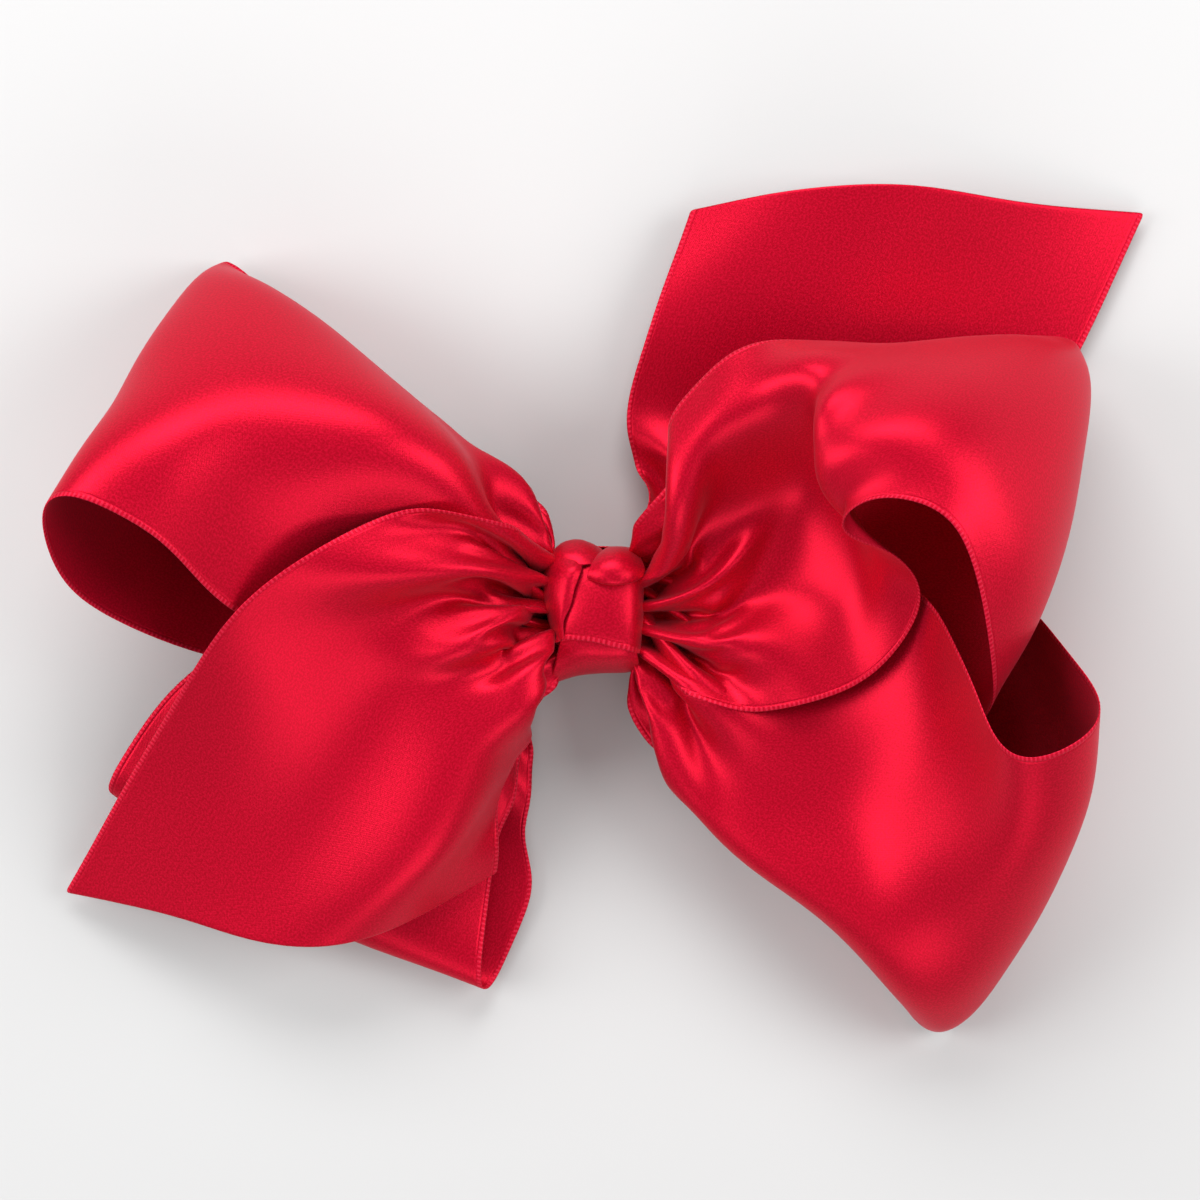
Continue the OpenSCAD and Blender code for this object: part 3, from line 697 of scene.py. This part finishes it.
knotSatin = satin("knotSatin", knot["ribbonWidth"])
for node, spec in knotFolds.items():
    grid, lengths = guideSurface(spec["ribs"], *knot["grid"])
    width = float(np.mean(np.linalg.norm(np.diff(grid, axis=1), axis=2).sum(axis=1)))
    length = float(np.mean(lengths))
    sheet = meshSheet(node + "_ribbon", grid, flatGrid(length, width, *knot["grid"], spec["start"]))
    finishRibbon(sheet, knotSatin)
    carry(sheet, node)
    length * mm
print("knot ready")


# the pinched centre is a flattened, fluted lump with a waist under the thread

sideTurn = 3


def stadium(angle, halfWidth, halfHeight):
    side = np.tanh(sideTurn * np.cos(angle)) / math.tanh(sideTurn)
    y = halfHeight * np.cos(angle) + (halfWidth - halfHeight) * side
    return y, halfHeight * np.sin(angle)


def reshape(piece, change):
    co = np.zeros(len(piece.data.vertices) * 3)
    piece.data.vertices.foreach_get("co", co)
    piece.data.vertices.foreach_set("co", (change(co.reshape(-1, 3)) * mm).ravel())
    piece.data.update()
    bpy.ops.object.shade_smooth()


pinchedCentre = {
    "halfLength": 8.0, "halfWidth": 8.9, "halfHeight": 4.35, "height": 12.4, "squareness": 0.3,
    "folds": 17, "foldDepth": 0.03, "waist": 0.10, "waistReach": 1.9,
    "segments": 136, "rings": 48, "fill": 0.8,
}


def gatherShape(co):
    spec = pinchedCentre
    x = co[:, 2]
    angle = np.arctan2(co[:, 1], co[:, 0])
    ring = np.sqrt(np.maximum(1 - x**2, 0)) ** spec["squareness"]
    ring *= 1 + spec["foldDepth"] * (np.sin(spec["folds"] * angle + x) - 1)
    along = spec["halfLength"] * x
    ring *= 1 - spec["waist"] * np.exp(-(along / spec["waistReach"]) ** 2)
    y, z = stadium(angle, spec["halfWidth"], spec["halfHeight"])
    return np.stack([along, ring * y, ring * z + spec["height"]], axis=1)


bpy.ops.object.select_all(action="DESELECT")
bpy.ops.mesh.primitive_uv_sphere_add(
    segments=pinchedCentre["segments"], ring_count=pinchedCentre["rings"], radius=1)
gather = bpy.context.object
gather.name = "pinched_centre"
reshape(gather, gatherShape)
gather.data.materials.append(satinMaterial)
carry(gather, "gathered_centre")

# binding thread round the waist

thread = {
    "turns": 5, "pitch": 0.6, "radius": 0.27, "halfWidth": 8.7, "halfHeight": 4.1, "height": 12.4,
    "formRadius": 10, "majorSegments": 96, "minorSegments": 10,
    "colour": (0.45, 0.005, 0.02), "roughness": 0.6,
}


def turnShape(co, shift):
    angle = np.arctan2(co[:, 1], co[:, 0])
    out = np.hypot(co[:, 0], co[:, 1]) - thread["formRadius"]
    y, z = stadium(angle, thread["halfWidth"], thread["halfHeight"])
    y, z = y + out * np.cos(angle), z + out * np.sin(angle)
    return np.stack([shift + co[:, 2], y, z + thread["height"]], axis=1)


threadMaterial = plain("bindingThread", thread["colour"], thread["roughness"])
for k in range(thread["turns"]):
    bpy.ops.object.select_all(action="DESELECT")
    bpy.ops.mesh.primitive_torus_add(
        major_segments=thread["majorSegments"], minor_segments=thread["minorSegments"],
        major_radius=thread["formRadius"], minor_radius=thread["radius"])
    turn = bpy.context.object
    turn.name = "binding_thread_%d" % (k + 1)
    shift = (k - (thread["turns"] - 1) / 2) * thread["pitch"]
    reshape(turn, lambda co: turnShape(co, shift))
    turn.data.materials.append(threadMaterial)
    carry(turn, "cinch_thread")
print("centre ready")

# lining ribbon: along the top of the clip's upper arm, round its nose and back underneath

lining = {
    "armStart": (-14.5, 0, 5.6), "armEnd": (28.5, 0, 2.6),
    "from": 4.2, "halfWidth": 5.0, "above": 1.02, "below": -0.22,
    "noseRadius": 4.9, "noseHalf": 2.2, "noseSteps": (0.3, 0.55, 0.75, 0.9),
    "turn": 0.15, "turnTip": 0.42, "ease": 0.12,
    "width": 10, "declaredWidth": 10.1, "grid": (150, 12),
}


def liningRibs():
    spec = lining
    start, end = np.array(spec["armStart"]), np.array(spec["armEnd"])
    armLength = float(np.linalg.norm(end - start))
    d = (end - start) / armLength
    n = np.array([-d[2], 0, d[0]])
    straight = armLength - spec["noseRadius"]

    def rib(s, up):
        over = max(0.0, s - straight)
        half = spec["halfWidth"]
        if over:
            half = math.sqrt(max(spec["noseRadius"] ** 2 - over**2, spec["noseHalf"] ** 2))
        return [tuple(start + d * s + np.array([0, half * f, 0]) + n * up) for f in (-1, -0.5, 0, 0.5, 1)]

    steps = straight + spec["noseRadius"] * np.array(spec["noseSteps"])
    runs = np.concatenate([np.linspace(spec["from"], straight, 6), steps])
    nose = [rib(armLength + spec["turn"], spec["above"] - spec["ease"]),
            rib(armLength + spec["turnTip"], (spec["above"] + spec["below"]) / 2),
            rib(armLength + spec["turn"], spec["below"] + spec["ease"])]
    return [rib(s, spec["above"]) for s in runs] + nose + [rib(s, spec["below"]) for s in runs[::-1]]


grid, lengths = guideSurface(liningRibs(), *lining["grid"])
length = float(np.mean(lengths))
sheet = meshSheet("clip_lining_ribbon", grid, flatGrid(length, lining["width"], *lining["grid"]))
finishRibbon(sheet, satin("liningSatin", lining["width"] * mm))
carry(sheet, "clip_lining")
length * mm

# materials of the carried-over clip, glue and pad

# colour, roughness and metallic of each, and the nodes that wear it
cadLooks = {
    "clipSteel": ((0.62, 0.61, 0.60), 0.28, 1.0, ("clip_upper_arm", "clip_lower_jaw", "clip_pivot_pin")),
    "springSteel": ((0.50, 0.50, 0.52), 0.25, 1.0, ("clip_spring",)),
    "driedGlue": ((0.86, 0.84, 0.78), 0.35, 0.0, ("knot_glue", "clip_glue")),
    "siliconePad": ((0.88, 0.88, 0.90), 0.45, 0.0, ("clip_grip_pad",)),
}

for name, (colour, roughness, metallic, nodes) in cadLooks.items():
    material = plain(name, colour, roughness, metallic)
    for node in nodes:
        for place in bpy.data.objects[node].material_slots:
            place.material = material
print("clip ready")
